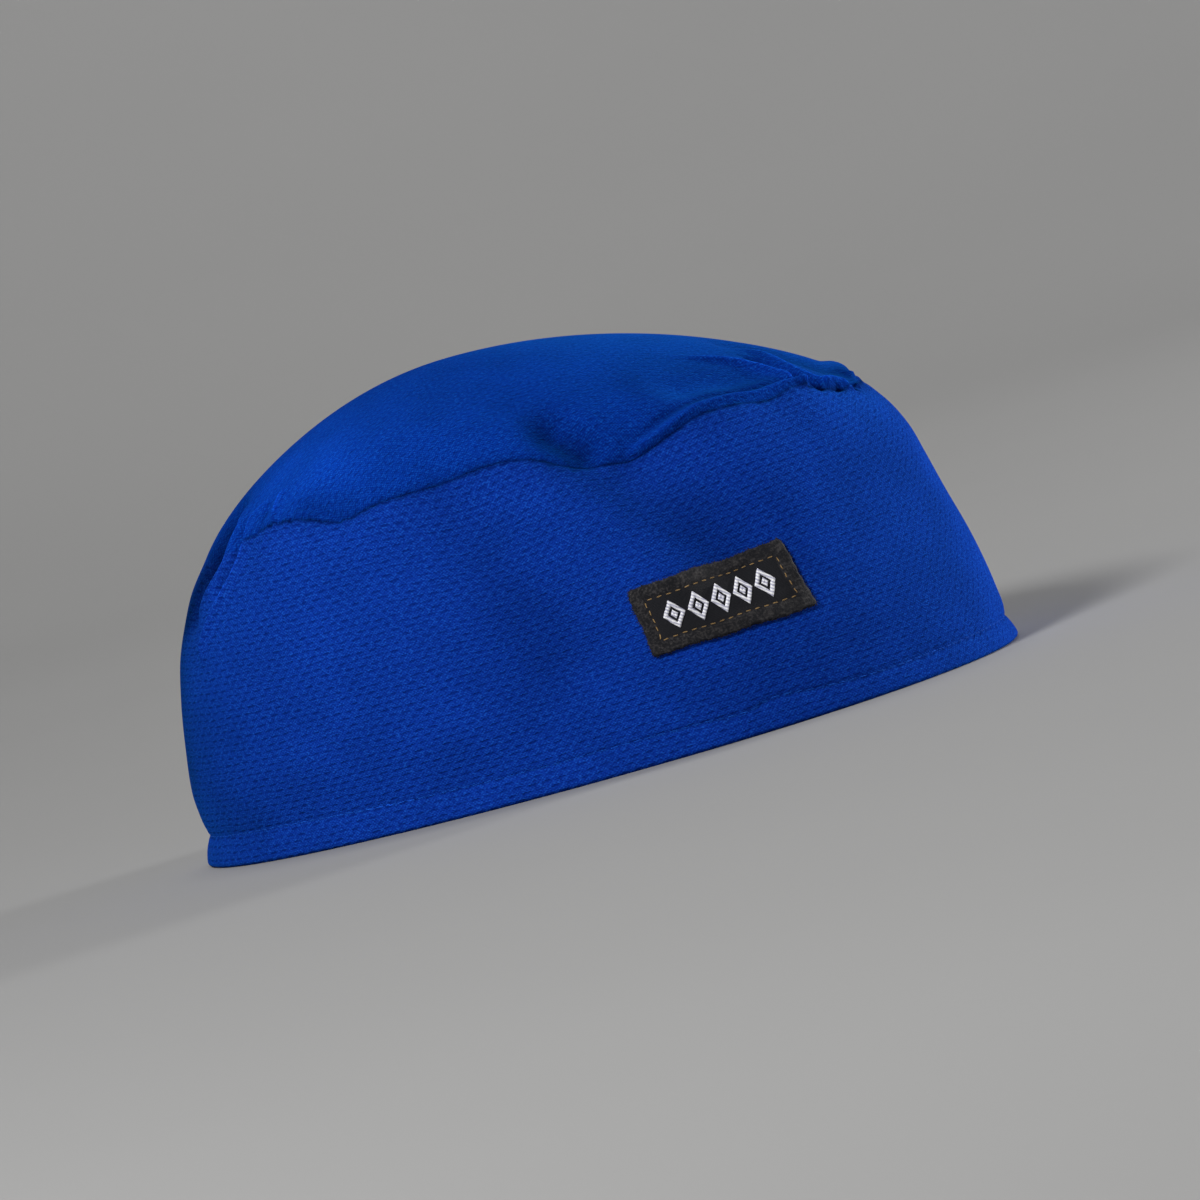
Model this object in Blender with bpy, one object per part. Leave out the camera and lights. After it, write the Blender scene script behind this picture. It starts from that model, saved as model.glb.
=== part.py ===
"""Skull cap: a tall knit band, an oval crown panel sewn to its top and a small woven label.

Lengths are in metres. X runs along the head, -Y is the labelled side, +Z points up.
The rim lies in the plane Z = 0, centred on the origin.
"""

import bpy
import numpy as np

# Cloth
WALL = 0.0012
HEM_THICKNESS = 0.0026
HEM_HEIGHT = 0.0068
HEM_PINCH = 0.0006
HEM_PINCH_REACH = 0.0022
PIECE_GAP = 0.0003

# Oval of the head: how much wider the +X end is than the -X end
EGG = 0.08

# Seam between band and crown, measured up from the rim
SEAM_END_HEIGHT = 0.0710
SEAM_END_TILT = 0.0010
SEAM_SIDE_RISE = 0.0055
SEAM_WAVE_FADE_DOWN = 5.0
SEAM_WAVE_FADE_UP = 9.0

# Dome of the crown
TOP_HEIGHT = 0.1028
APEX_X = -0.0130
DOME_ROUND = 0.91
DOME_EDGE = 0.09
DOME_EDGE_POWER = 12.0

# Rounded body whose outward directions the folds follow, the same on both sides of the seam
BODY_CENTRE = (-0.003, 0.0, 0.015)
BODY_REACH = (0.100, 0.076, 0.090)

# Label
LABEL_X = 0.0341
LABEL_Z = 0.0334
LABEL_WIDTH = 0.0388
LABEL_HEIGHT = 0.0172
LABEL_THICKNESS = 0.0010
LABEL_TURN = 0.032
LABEL_LEAN = -0.165
LABEL_TAPER = 0.12
LABEL_STEPS_ALONG = 16
LABEL_STEPS_UP = 6

# Outline of the band: share of the way up to the seam, reach to -X, reach to +X, half width
BAND_ROWS = (
    (0.000, 0.10255, 0.10255, 0.0775),
    (0.045, 0.1019, 0.1020, 0.0772),
    (0.110, 0.1010, 0.1010, 0.0768),
    (0.250, 0.1013, 0.0994, 0.0775),
    (0.400, 0.0999, 0.0972, 0.0768),
    (0.580, 0.0974, 0.0942, 0.0745),
    (0.700, 0.0950, 0.0924, 0.0716),
    (0.810, 0.0915, 0.0905, 0.0680),
    (0.900, 0.0880, 0.0876, 0.0643),
    (1.000, 0.0823, 0.0826, 0.0598),
)

# Waves of the seam: angle round the oval in degrees, rise of the seam there
SEAM_WAVES = (
    (0.0, 0.0000),
    (50.0, 0.0008),
    (95.0, -0.0012),
    (140.0, 0.0010),
    (180.0, 0.0000),
    (207.0, 0.0002),
    (219.0, 0.0034),
    (227.0, 0.0020),
    (235.0, -0.0014),
    (243.0, -0.0001),
    (252.0, 0.0006),
    (264.0, 0.0013),
    (270.0, -0.0002),
    (275.0, -0.0024),
    (281.0, -0.0032),
    (287.0, -0.0042),
    (294.0, -0.0019),
    (300.0, 0.0009),
    (308.0, 0.0016),
    (315.0, 0.0009),
    (322.0, 0.0029),
    (332.0, 0.0003),
    (360.0, 0.0000),
)

# Folds: start angle, start level, end angle, end level, reach, height.
# Angles are in degrees round the oval. Levels run from 0 at the rim to 1 at the seam and 2 at the apex.
FOLDS = (
    (271.0, 1.24, 276.0, 1.12, 0.0070, -0.0010),
    (277.0, 1.095, 279.8, 1.04, 0.0056, -0.0044),
    (282.6, 1.11, 285.0, 1.04, 0.0046, 0.0009),
    (276.0, 1.00, 284.0, 0.97, 0.0080, -0.0016),
    (258.5, 0.86, 268.0, 0.42, 0.0150, -0.0050),
    (268.0, 0.42, 274.0, 0.26, 0.0150, -0.0020),
    (271.0, 0.93, 284.0, 0.56, 0.0110, 0.0014),
    (285.0, 0.90, 297.0, 0.58, 0.0120, -0.0040),
    (299.0, 1.22, 322.0, 1.22, 0.0140, -0.0014),
    (236.0, 1.20, 262.0, 1.14, 0.0160, 0.0022),
    (306.0, 1.13, 322.0, 1.11, 0.0065, -0.0022),
    (340.0, 0.80, 350.0, 0.40, 0.0160, 0.0010),
    (198.0, 1.135, 203.0, 1.04, 0.0026, 0.0012),
    (203.0, 1.04, 198.6, 0.90, 0.0026, 0.0012),
    (190.5, 1.12, 194.5, 1.00, 0.0048, -0.0038),
    (194.5, 1.00, 191.0, 0.85, 0.0048, -0.0036),
    (209.0, 1.12, 211.0, 0.95, 0.0026, 0.0010),
    (211.0, 0.95, 203.0, 0.76, 0.0026, 0.0010),
    (345.0, 1.28, 334.0, 1.03, 0.0026, 0.0014),
    (337.0, 1.25, 330.0, 1.04, 0.0022, -0.0013),
    (321.0, 1.33, 329.0, 1.19, 0.0026, 0.0014),
    (329.0, 1.19, 326.4, 1.02, 0.0026, 0.0014),
    (352.0, 1.28, 349.0, 1.09, 0.0060, -0.0018),
    (372.0, 1.052, 353.0, 1.036, 0.0030, 0.0015),
    (287.0, 1.02, 300.0, 1.03, 0.0026, 0.0010),
    (300.0, 1.03, 331.0, 1.02, 0.0026, 0.0010),
    (68.0, 0.86, 80.0, 0.40, 0.0170, -0.0024),
    (118.0, 0.80, 110.0, 0.36, 0.0180, -0.0022),
    (92.0, 1.16, 88.0, 1.04, 0.0080, -0.0024),
)

# Steps round the oval: start angle, end angle, number of steps
ANGLE_SPANS = (
    (0.0, 180.0, 38),
    (180.0, 216.0, 14),
    (216.0, 268.0, 15),
    (268.0, 304.0, 16),
    (304.0, 352.0, 19),
    (352.0, 360.0, 2),
)
BAND_SHARES = (
    0.0, 0.03, 0.062, 0.088, 0.104, 0.16, 0.24, 0.32, 0.40, 0.48, 0.56, 0.65, 0.74, 0.83, 0.91, 0.965,
)
CROWN_REACHES = (0.975, 0.94, 0.89, 0.83, 0.76, 0.67, 0.55, 0.40, 0.22)
HALF_GAP_ALONG_WALL = 0.5 * PIECE_GAP / 0.0735
HALF_GAP_ALONG_CROWN = 0.5 * PIECE_GAP / 0.0780
NUDGE = 1e-4

ROYAL_BLUE = (0.006, 0.045, 0.300, 1.0)
LABEL_BLACK = (0.012, 0.013, 0.018, 1.0)


def clear_scene():
    for item in list(bpy.data.objects):
        bpy.data.objects.remove(item, do_unlink=True)


def cloth_material(name, colour):
    material = bpy.data.materials.new(name)
    material.use_nodes = True
    shader = material.node_tree.nodes["Principled BSDF"]
    shader.inputs["Base Color"].default_value = colour
    shader.inputs["Roughness"].default_value = 0.9
    return material


def curve_through(rows, column, at):
    """Smooth curve through one column of a table whose first column rises."""
    knots = np.array([row[0] for row in rows])
    values = np.array([row[column] for row in rows])
    slopes = np.gradient(values, knots)
    index = np.clip(np.searchsorted(knots, at, side="right") - 1, 0, len(knots) - 2)
    span = knots[index + 1] - knots[index]
    part = (at - knots[index]) / span
    rest = 1.0 - part
    start = (1.0 + 2.0 * part) * rest**2 * values[index] + part * rest**2 * span * slopes[index]
    end = part**2 * (3.0 - 2.0 * part) * values[index + 1] - part**2 * rest * span * slopes[index + 1]
    return start + end


def seam_height(angle):
    return SEAM_END_HEIGHT - SEAM_END_TILT * np.cos(angle) + SEAM_SIDE_RISE * np.sin(angle) ** 2


def seam_wave(angle):
    return curve_through(SEAM_WAVES, 1, np.degrees(angle) % 360.0)


def band_base(angle, share):
    left = curve_through(BAND_ROWS, 1, share)
    right = curve_through(BAND_ROWS, 2, share)
    half_width = curve_through(BAND_ROWS, 3, share)
    x = 0.5 * (right - left) + 0.5 * (right + left) * np.cos(angle)
    y = half_width * np.sin(angle) * (1.0 + EGG * np.cos(angle))
    z = share * seam_height(angle) + np.abs(share) ** SEAM_WAVE_FADE_DOWN * seam_wave(angle)
    return np.stack([x, y, z], axis=-1)


def crown_base(angle, reach):
    edge = band_base(angle, np.ones_like(reach))
    x = APEX_X + (edge[..., 0] - APEX_X) * reach
    y = edge[..., 1] * reach
    fall = DOME_ROUND * reach**2 + DOME_EDGE * reach**DOME_EDGE_POWER
    drop = (TOP_HEIGHT - seam_height(angle)) * fall
    z = TOP_HEIGHT - drop + seam_wave(angle) * reach**SEAM_WAVE_FADE_UP
    return np.stack([x, y, z], axis=-1)


def cloth_base(angle, level):
    """Smooth cloth with no folds, over the band and the crown."""
    low = band_base(angle, np.clip(level, 0.0, 1.0))
    high = crown_base(angle, np.clip(2.0 - level, 0.0, 1.0))
    return np.where((level <= 1.0)[..., None], low, high)


def normals_of(surface, angle, level, turn):
    """Unit normals from nudges along both directions. turn is 1 where level rises, -1 where it falls."""
    along = surface(angle + NUDGE, level) - surface(angle - NUDGE, level)
    up = surface(angle, level + NUDGE) - surface(angle, level - NUDGE)
    normal = np.cross(along, up) * turn
    return normal / np.linalg.norm(normal, axis=-1, keepdims=True)


def fold_height(points):
    """How far the folds push the cloth out at these points."""
    total = np.zeros(points.shape[:-1])
    for start_angle, start_level, end_angle, end_level, reach, height in FOLDS:
        ends = cloth_base(np.radians([start_angle, end_angle]), np.array([start_level, end_level]))
        run = ends[1] - ends[0]
        part = np.clip((points - ends[0]) @ run / (run @ run), 0.0, 1.0)
        away = points - ends[0] - part[..., None] * run
        total += height * np.exp(-np.sum(away**2, axis=-1) / reach**2)
    return total


def outward(points):
    """Directions that the folds push in."""
    direction = (points - np.array(BODY_CENTRE)) / np.array(BODY_REACH) ** 2
    return direction / np.linalg.norm(direction, axis=-1, keepdims=True)


def band_skin(angle, share):
    base = band_base(angle, share)
    pinch = HEM_PINCH * np.exp(-(((base[..., 2] - HEM_HEIGHT) / HEM_PINCH_REACH) ** 2))
    push = fold_height(base) - pinch
    return base + push[..., None] * outward(base)


def crown_skin(angle, reach):
    base = crown_base(angle, reach)
    return base + fold_height(base)[..., None] * outward(base)


def angles_round():
    """Angles of the columns of a piece, closer together where the cloth is gathered."""
    spans = [np.linspace(start, end, steps, endpoint=False) for start, end, steps in ANGLE_SPANS]
    return np.radians(np.concatenate(spans))


def grid(angles, levels):
    return np.meshgrid(angles, np.array(levels), indexing="xy")


def ring_faces(count, rows, offset, outside):
    """Four-sided faces between the rows of a grid that closes on itself."""
    faces = []
    for row in range(rows - 1):
        for column in range(count):
            following = (column + 1) % count
            low = offset + row * count
            high = low + count
            face = (low + column, low + following, high + following, high + column)
            faces.append(face if outside else face[::-1])
    return faces


def joining_faces(first, second, count):
    """Four-sided faces between two rings that start at these points."""
    return [(first + i, second + i, second + (i + 1) % count, first + (i + 1) % count) for i in range(count)]


def add_piece(name, points, faces, material):
    mesh = bpy.data.meshes.new(name)
    mesh.from_pydata([tuple(point) for point in points], [], faces)
    mesh.validate()
    mesh.shade_smooth()
    mesh.materials.append(material)
    piece = bpy.data.objects.new(name, mesh)
    bpy.context.scene.collection.objects.link(piece)
    return piece


def seam_normals(angles):
    """Normals shared by both edges at the seam, so that the edges lie side by side."""
    ones = np.ones_like(angles)
    both = normals_of(band_skin, angles, ones * 0.999, 1.0) + normals_of(crown_skin, angles, ones * 0.999, -1.0)
    return both / np.linalg.norm(both, axis=-1, keepdims=True)


def build_side_band(angles):
    shares = BAND_SHARES + (1.0 - HALF_GAP_ALONG_WALL,)
    angle, share = grid(angles, shares)
    outer = band_skin(angle, share)
    normals = normals_of(band_skin, angle, share, 1.0)
    normals[-1] = seam_normals(angles)
    thick = np.where(share * SEAM_END_HEIGHT < HEM_HEIGHT, HEM_THICKNESS, WALL)
    inner = outer - thick[..., None] * normals
    outer[0, :, 2] = 0.0
    inner[0, :, 2] = 0.0
    count = len(angles)
    rows = len(shares)
    points = np.concatenate([outer.reshape(-1, 3), inner.reshape(-1, 3)])
    faces = ring_faces(count, rows, 0, True) + ring_faces(count, rows, rows * count, False)
    faces += joining_faces(0, rows * count, count)
    faces += [face[::-1] for face in joining_faces((rows - 1) * count, (2 * rows - 1) * count, count)]
    return add_piece("side_band", points, faces, cloth_material("band_knit", ROYAL_BLUE))


def build_crown_panel(angles):
    reaches = (1.0 - HALF_GAP_ALONG_CROWN,) + CROWN_REACHES
    angle, reach = grid(angles, reaches)
    outer = crown_skin(angle, reach)
    normals = normals_of(crown_skin, angle, reach, -1.0)
    normals[0] = seam_normals(angles)
    inner = outer - WALL * normals
    top = np.array([[APEX_X, 0.0, TOP_HEIGHT], [APEX_X, 0.0, TOP_HEIGHT - WALL]])
    count = len(angles)
    rows = len(reaches)
    half = rows * count
    points = np.concatenate([outer.reshape(-1, 3), inner.reshape(-1, 3), top])
    faces = ring_faces(count, rows, 0, True) + ring_faces(count, rows, half, False)
    faces += joining_faces(0, half, count)
    last = half - count
    for column in range(count):
        following = (column + 1) % count
        faces.append((last + column, last + following, 2 * half))
        faces.append((half + last + following, half + last + column, 2 * half + 1))
    return add_piece("crown_panel", points, faces, cloth_material("crown_knit", ROYAL_BLUE))


def near_side_levels(x, z):
    """Angle and share of the band's points that lie at these x and z on the labelled side."""
    share = z / SEAM_END_HEIGHT
    for _ in range(6):
        left = curve_through(BAND_ROWS, 1, share)
        right = curve_through(BAND_ROWS, 2, share)
        angle = 2.0 * np.pi - np.arccos((x - 0.5 * (right - left)) / (0.5 * (right + left)))
        share = (z - share**SEAM_WAVE_FADE_DOWN * seam_wave(angle)) / seam_height(angle)
    return angle, share


def build_label():
    along, up = grid(np.linspace(-0.5, 0.5, LABEL_STEPS_ALONG + 1), np.linspace(-0.5, 0.5, LABEL_STEPS_UP + 1))
    x = LABEL_X + along * LABEL_WIDTH + up * LABEL_HEIGHT * LABEL_LEAN
    z = LABEL_Z + up * LABEL_HEIGHT * (1.0 + along * LABEL_TAPER) + along * LABEL_WIDTH * LABEL_TURN
    angle, share = near_side_levels(x, z)
    skin = band_skin(angle, share)
    normals = normals_of(band_skin, angle, share, 1.0)
    back = skin + PIECE_GAP * normals
    front = skin + (PIECE_GAP + LABEL_THICKNESS) * normals
    wide = LABEL_STEPS_ALONG + 1
    tall = LABEL_STEPS_UP + 1
    count = wide * tall
    points = np.concatenate([front.reshape(-1, 3), back.reshape(-1, 3)])
    faces = []
    for row in range(LABEL_STEPS_UP):
        for column in range(LABEL_STEPS_ALONG):
            low = row * wide + column
            face = (low, low + 1, low + wide + 1, low + wide)
            faces.append(face)
            faces.append(tuple(count + index for index in face[::-1]))
    bottom = list(range(wide))
    right_side = [row * wide + wide - 1 for row in range(1, tall)]
    top = [count - 1 - column for column in range(1, wide)]
    left_side = [row * wide for row in range(tall - 2, 0, -1)]
    loop = bottom + right_side + top + left_side
    for here, following in zip(loop, loop[1:] + loop[:1]):
        faces.append((following, here, count + here, count + following))
    return add_piece("label", points, faces, cloth_material("label_cloth", LABEL_BLACK))


def main():
    clear_scene()
    angles = angles_round()
    build_side_band(angles)
    build_crown_panel(angles)
    build_label()


main()
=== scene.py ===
"""Looks of the skull cap: knit band and crown, hem stitches, woven label, floor, light and camera.

Lengths are in metres. Places on the cap are given as an angle round the oval, in degrees,
and a level: 0 at the rim, 1 at the seam, 2 at the apex of the crown.
"""

import math

import bpy
import numpy as np
from mathutils import Matrix, Vector
from numpy.linalg import norm


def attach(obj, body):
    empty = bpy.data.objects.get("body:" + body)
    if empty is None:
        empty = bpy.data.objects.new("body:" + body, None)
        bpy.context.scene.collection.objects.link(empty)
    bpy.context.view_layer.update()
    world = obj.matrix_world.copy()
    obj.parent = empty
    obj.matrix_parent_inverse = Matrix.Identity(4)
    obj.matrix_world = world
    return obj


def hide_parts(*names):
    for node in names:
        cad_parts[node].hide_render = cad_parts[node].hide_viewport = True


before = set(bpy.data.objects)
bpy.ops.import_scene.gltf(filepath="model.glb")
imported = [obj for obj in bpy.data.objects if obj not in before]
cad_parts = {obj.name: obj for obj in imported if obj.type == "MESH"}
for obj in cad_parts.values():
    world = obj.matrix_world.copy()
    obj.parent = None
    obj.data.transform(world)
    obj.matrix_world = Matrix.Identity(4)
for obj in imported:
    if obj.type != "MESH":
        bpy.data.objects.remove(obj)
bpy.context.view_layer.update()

# Cloth, as in the model's solids
EGG = 0.08
SEAM_END_HEIGHT = 0.0710
SEAM_END_TILT = 0.0010
SEAM_SIDE_RISE = 0.0055
SEAM_WAVE_FADE_DOWN = 5.0
SEAM_WAVE_FADE_UP = 9.0
SEAM_LENGTH = 0.46
# The tuck hides the seam here: middle angle, half its reach
TUCK_ANGLE = 194.0
TUCK_HALF = 14.5
TOP_HEIGHT = 0.1028
APEX_X = -0.0130
DOME_ROUND = 0.91
DOME_EDGE = 0.09
DOME_EDGE_POWER = 12.0
BODY_CENTRE = (-0.003, 0.0, 0.015)
BODY_REACH = (0.100, 0.076, 0.090)

# Outline of the band: share of the way up to the seam, reach to -X, reach to +X, half width
BAND_ROWS = (
    (0.000, 0.10255, 0.10255, 0.0775),
    (0.045, 0.1019, 0.1020, 0.0772),
    (0.110, 0.1010, 0.1010, 0.0768),
    (0.250, 0.1013, 0.0994, 0.0775),
    (0.400, 0.0999, 0.0972, 0.0768),
    (0.580, 0.0974, 0.0942, 0.0745),
    (0.700, 0.0950, 0.0924, 0.0716),
    (0.810, 0.0915, 0.0905, 0.0680),
    (0.900, 0.0880, 0.0876, 0.0643),
    (1.000, 0.0823, 0.0826, 0.0598),
)

# Waves of the seam: angle, rise of the seam there
SEAM_WAVES = (
    (0, 0.0), (50, 0.0008), (95, -0.0012), (140, 0.001), (180, 0.0),
    (207, 0.0002), (219, 0.0034), (227, 0.002), (235, -0.0014), (243, -0.0001),
    (252, 0.0006), (264, 0.0013), (270, -0.0002), (275, -0.0024), (281, -0.0032),
    (287, -0.0042), (294, -0.0019), (300, 0.0009), (308, 0.0016), (315, 0.0009),
    (322, 0.0029), (332, 0.0003), (360, 0.0),
)

# Broad folds: start angle, start level, end angle, end level, reach, height
FOLDS = (
    (271, 1.24, 276, 1.12, 0.007, -0.001),
    (277, 1.095, 279.8, 1.04, 0.0052, -0.0044),
    (282.6, 1.11, 285, 1.04, 0.0042, 0.0009),
    (276, 1.0, 284, 0.97, 0.008, -0.0016),
    (258.5, 0.86, 268, 0.42, 0.015, -0.005),
    (268, 0.42, 274, 0.26, 0.015, -0.002),
    (271, 0.93, 284, 0.56, 0.011, 0.0014),
    (285, 0.9, 297, 0.58, 0.012, -0.004),
    (299, 1.22, 322, 1.22, 0.014, -0.0014),
    (352, 1.28, 349, 1.09, 0.006, -0.0018),
    (236, 1.2, 262, 1.14, 0.016, 0.0022),
    (306, 1.13, 322, 1.11, 0.0065, -0.0022),
    (340, 0.8, 350, 0.4, 0.016, 0.001),
    (190.5, 1.12, 194.5, 1.0, 0.0044, -0.0038),
    (194.5, 1.0, 191, 0.85, 0.0044, -0.0036),
    (68, 0.86, 80, 0.4, 0.017, -0.0024),
    (118, 0.8, 110, 0.36, 0.018, -0.0022),
    (92, 1.16, 88, 1.04, 0.008, -0.0024),
)

# Paths of creases, as (angle, level): the tuck and pleats at the -X end
# The tuck's path carries only painted shade: the shadow inside the tuck
TUCK_SHADOW = ((184.5, 1.2), (188, 1.12), (191, 1.06), (190, 0.98), (186, 0.9), (184, 0.82))
TUCK_EDGE = (
    (195, 1.17), (199, 1.13), (203.1, 1.07), (202.3, 1.02), (202.4, 0.973), (198.6, 0.912),
    (195, 0.86),
)
PLEAT = (
    (209, 1.2), (210.9, 1.132), (207.9, 1.09), (210.4, 1.02), (211.2, 0.955), (209.7, 0.91),
    (205.9, 0.855), (203.4, 0.83), (201, 0.72),
)
PLEAT_VALLEY = ((207, 1.12), (205.8, 1.06), (206.8, 1.0), (206.6, 0.95), (203, 0.89))

# The gathers at the +X end: two ridges, the valley between them, and two loops at the seam
REAR_RIDGE = (
    (346, 1.31), (343.5, 1.25), (340.3, 1.185), (336, 1.127), (333.6, 1.08), (333.2, 1.047),
    (333.6, 1.02),
)
RIDGE_VALLEY = ((337, 1.25), (334.8, 1.18), (332.2, 1.12), (330.6, 1.075), (329.8, 1.035), (330, 1.006))
FRONT_RIDGE = (
    (319, 1.35), (325, 1.27), (329.1, 1.195), (329.4, 1.14), (328, 1.075), (326.8, 1.035),
    (326.2, 1.012),
)
FRONT_LOOP = ((332, 1.004), (335, 1.03), (339, 1.034), (341.5, 1.018), (341, 0.995))
IN_FRONT_LOOP = ((334, 1.002), (338, 1.006))
REAR_LOOP = ((345.5, 0.994), (348, 1.004), (350, 1.014), (351.5, 1.022))
BETWEEN_LOOPS = ((346, 1.05), (344, 1.024), (343.2, 0.998))

# Soft ridge along the right half of the seam, and the hollow behind it
SEAM_RIDGE = (
    (286, 1.006), (291, 1.012), (296, 1.016), (302, 1.024), (309, 1.03), (315, 1.028),
    (322, 1.02), (326.5, 1.014),
)
SEAM_HOLLOW = (
    (287, 1.03), (293, 1.04), (300, 1.055), (308, 1.068), (315, 1.062), (322, 1.048),
    (327, 1.044),
)
SEAM_HOLLOW_DARK = (
    (289, 1.033), (296, 1.046), (304, 1.062), (310, 1.068), (317, 1.058), (324, 1.046),
)
SEAM_RIDGE_LIGHT = (
    (287, 1.014), (296, 1.022), (302, 1.03), (309, 1.036), (315, 1.034), (322, 1.026),
)

# Creases: height, reach on the left of the path, reach on its right, share of the path over
# which it rises from nothing, path
CREASES = (
    (0.0012, 0.0026, 0.0009, 0.3, TUCK_EDGE),
    (0.0014, 0.0022, 0.0006, 0.3, PLEAT),
    (-0.0011, 0.0013, 0.0013, 0.3, PLEAT_VALLEY),
    (0.0011, 0.0009, 0.0007, 0.3, ((216, 1.17), (218.8, 1.05), (219.5, 1.01))),
    (-0.001, 0.0011, 0.0014, 0.3, ((213, 1.12), (214.5, 1.02))),
    (0.0014, 0.0007, 0.0018, 0.45, REAR_RIDGE),
    (-0.0014, 0.0011, 0.0011, 0.4, RIDGE_VALLEY),
    (0.0015, 0.0007, 0.0016, 0.45, FRONT_RIDGE),
    (0.0013, 0.0011, 0.0011, 0.1, FRONT_LOOP),
    (-0.0014, 0.0011, 0.0011, 0.1, IN_FRONT_LOOP),
    (0.0011, 0.0011, 0.0011, 0.1, REAR_LOOP),
    (-0.0014, 0.0012, 0.0012, 0.1, BETWEEN_LOOPS),
    (0.0015, 0.0024, 0.0024, 0.2, ((372, 1.052), (353, 1.036))),
    (-0.0006, 0.0012, 0.0012, 0.1, ((369, 1.018), (355, 1.018))),
    (0.0005, 0.0015, 0.0015, 0.3, ((370, 1.002), (356, 1.004))),
    (0.0013, 0.0013, 0.001, 0.08, SEAM_RIDGE),
    (-0.0011, 0.0011, 0.0011, 0.15, SEAM_HOLLOW),
    (-0.0009, 0.0009, 0.0009, 0.2, ((224, 1.05), (230, 1.03), (234.5, 1.008))),
)

# Painted shade and light on the cloth: darkening for painted shade in folds, hollows and the tuck, below
# zero for painted light on edges that catch the light, reach, path
PAINTED_SHADE_AND_LIGHT = (
    # Painted shade in the tuck and pleats at the -X end, in the dimple and in the band's slanting hollows
    (0.7, 0.0058, TUCK_SHADOW),
    (0.38, 0.0095, ((189, 0.93), (186, 0.8), (185, 0.66), (185, 0.5), (188, 0.34))),
    (0.35, 0.0015, PLEAT_VALLEY[:4] + ((204, 0.9),)),
    (0.36, 0.0015, ((213, 1.1), (214, 1.05), (214.5, 1.02))),
    (0.2, 0.0052, ((271.5, 1.22), (275.6, 1.12), (279, 1.04))),
    (0.36, 0.0031, ((276.2, 1.095), (279.2, 1.04))),
    (0.18, 0.012, ((256, 0.88), (259, 0.8), (268, 0.42))),
    (0.2, 0.012, ((282, 0.95), (286, 0.86), (297, 0.58))),
    # Broad painted shade on the crown's right, the band's right and low on the band's left
    (0.24, 0.016, ((292, 1.2), (299, 1.21), (322, 1.2))),
    (0.1, 0.024, ((318, 0.92), (330, 0.78), (334, 0.45), (322, 0.22))),
    (0.15, 0.017, ((197, 0.6), (202, 0.32), (207, 0.14))),
    # Painted shade in the pleats, hollows and loops at the +X end and beside the seam
    (0.5, 0.0015, RIDGE_VALLEY),
    (0.54, 0.008, ((355, 1.31), (351, 1.22), (348.5, 1.15), (348, 1.09), (349, 1.05))),
    (0.65, 0.0012, IN_FRONT_LOOP),
    (0.6, 0.0014, BETWEEN_LOOPS),
    (0.28, 0.0024, ((302, 1.066), (309, 1.08), (316, 1.076), (322, 1.064))),
    (0.3, 0.0011, SEAM_HOLLOW_DARK),
    (0.2, 0.0046, ((222, 1.04), (236, 1.035))),
    # Painted light on the crests of the pleats, ridges and loops and on the seam's soft ridge
    (-0.5, 0.0006, TUCK_EDGE[1:6]),
    (-0.6, 0.0006, ((210, 1.16),) + PLEAT[1:7]),
    (-0.5, 0.0006, ((217, 1.13), (218.8, 1.05))),
    (-0.75, 0.0006, ((345, 1.285),) + REAR_RIDGE[1:]),
    (-0.75, 0.0006, ((321, 1.33),) + FRONT_RIDGE[1:]),
    (-0.6, 0.0006, FRONT_LOOP),
    (-0.5, 0.0006, REAR_LOOP),
    (-0.25, 0.001, SEAM_RIDGE_LIGHT),
    # Broad painted light on the crown's left and low near the band's +X end
    (-0.34, 0.015, ((198, 1.26), (226, 1.2))),
    (-0.1, 0.012, ((346, 0.9), (350, 0.55), (352, 0.25))),
)

# Hem stitch line: angle, height above the rim
HEM_LINE = (
    (0, 0.0055), (60, 0.0067), (120, 0.007), (188, 0.0071), (221, 0.0076),
    (238, 0.007), (254, 0.0067), (268, 0.0066), (282, 0.0065), (290.3, 0.0064),
    (292.2, 0.0072), (300, 0.0064), (307, 0.0057), (324, 0.0056), (345, 0.0057),
    (360, 0.0055),
)

# Floor: where it starts to bend up, radius of the bend, drop below the rim
FLOOR_END = 1.2
FLOOR_BEND = 1.6
FLOOR_DROP = 0.00002

# Camera: distance, height angle, roll, point looked at, width seen there
CAMERA_DISTANCE = 2.0
CAMERA_ELEVATION = math.radians(3.7)
CAMERA_ROLL = math.radians(15.964)
CAMERA_TARGET = (0.00687, 0.0, 0.0360)
CAMERA_FIELD = 0.2916

# Knit: dash pitch along a row, row pitch, turn of the crown's rows
DASH_PITCH = 0.0036
ROW_PITCH = 0.0016
CROWN_KNIT_TURN = math.radians(-4.0)

# Label: corners in x and z from low left the way round, size, gap to the cloth, thickness,
# round of its corners, number of loose fibres
LABEL_CORNERS = ((0.0157, 0.0248), (0.0553, 0.0250), (0.0521, 0.0431), (0.01345, 0.04085))
LABEL_SIZE = (0.0405, 0.0172)
LABEL_GAP = 0.0003
LABEL_THICKNESS = 0.0008
LABEL_CORNER_ROUND = 0.0009
LABEL_FIBRES = 300
# Border stitches: corners as shares of the label, stitches on each side
STITCH_CORNERS = ((0.080, 0.20), (0.925, 0.20), (0.925, 0.79), (0.080, 0.79))
STITCH_COUNTS = (15, 5, 15, 5)
ORNAMENT_START = 0.0082
ORNAMENT_STEP = 0.0060
ORNAMENT_HEIGHT = 0.0085
# Open lozenge and the small one inside it: half width, half height, share left open
LOZENGES = ((0.00275, 0.0037, 0.56), (0.00090, 0.00120, 0.02))
LOZENGE_AROUND = 48
LOZENGE_ACROSS = 9
CORD_PITCH = 0.0009
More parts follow.
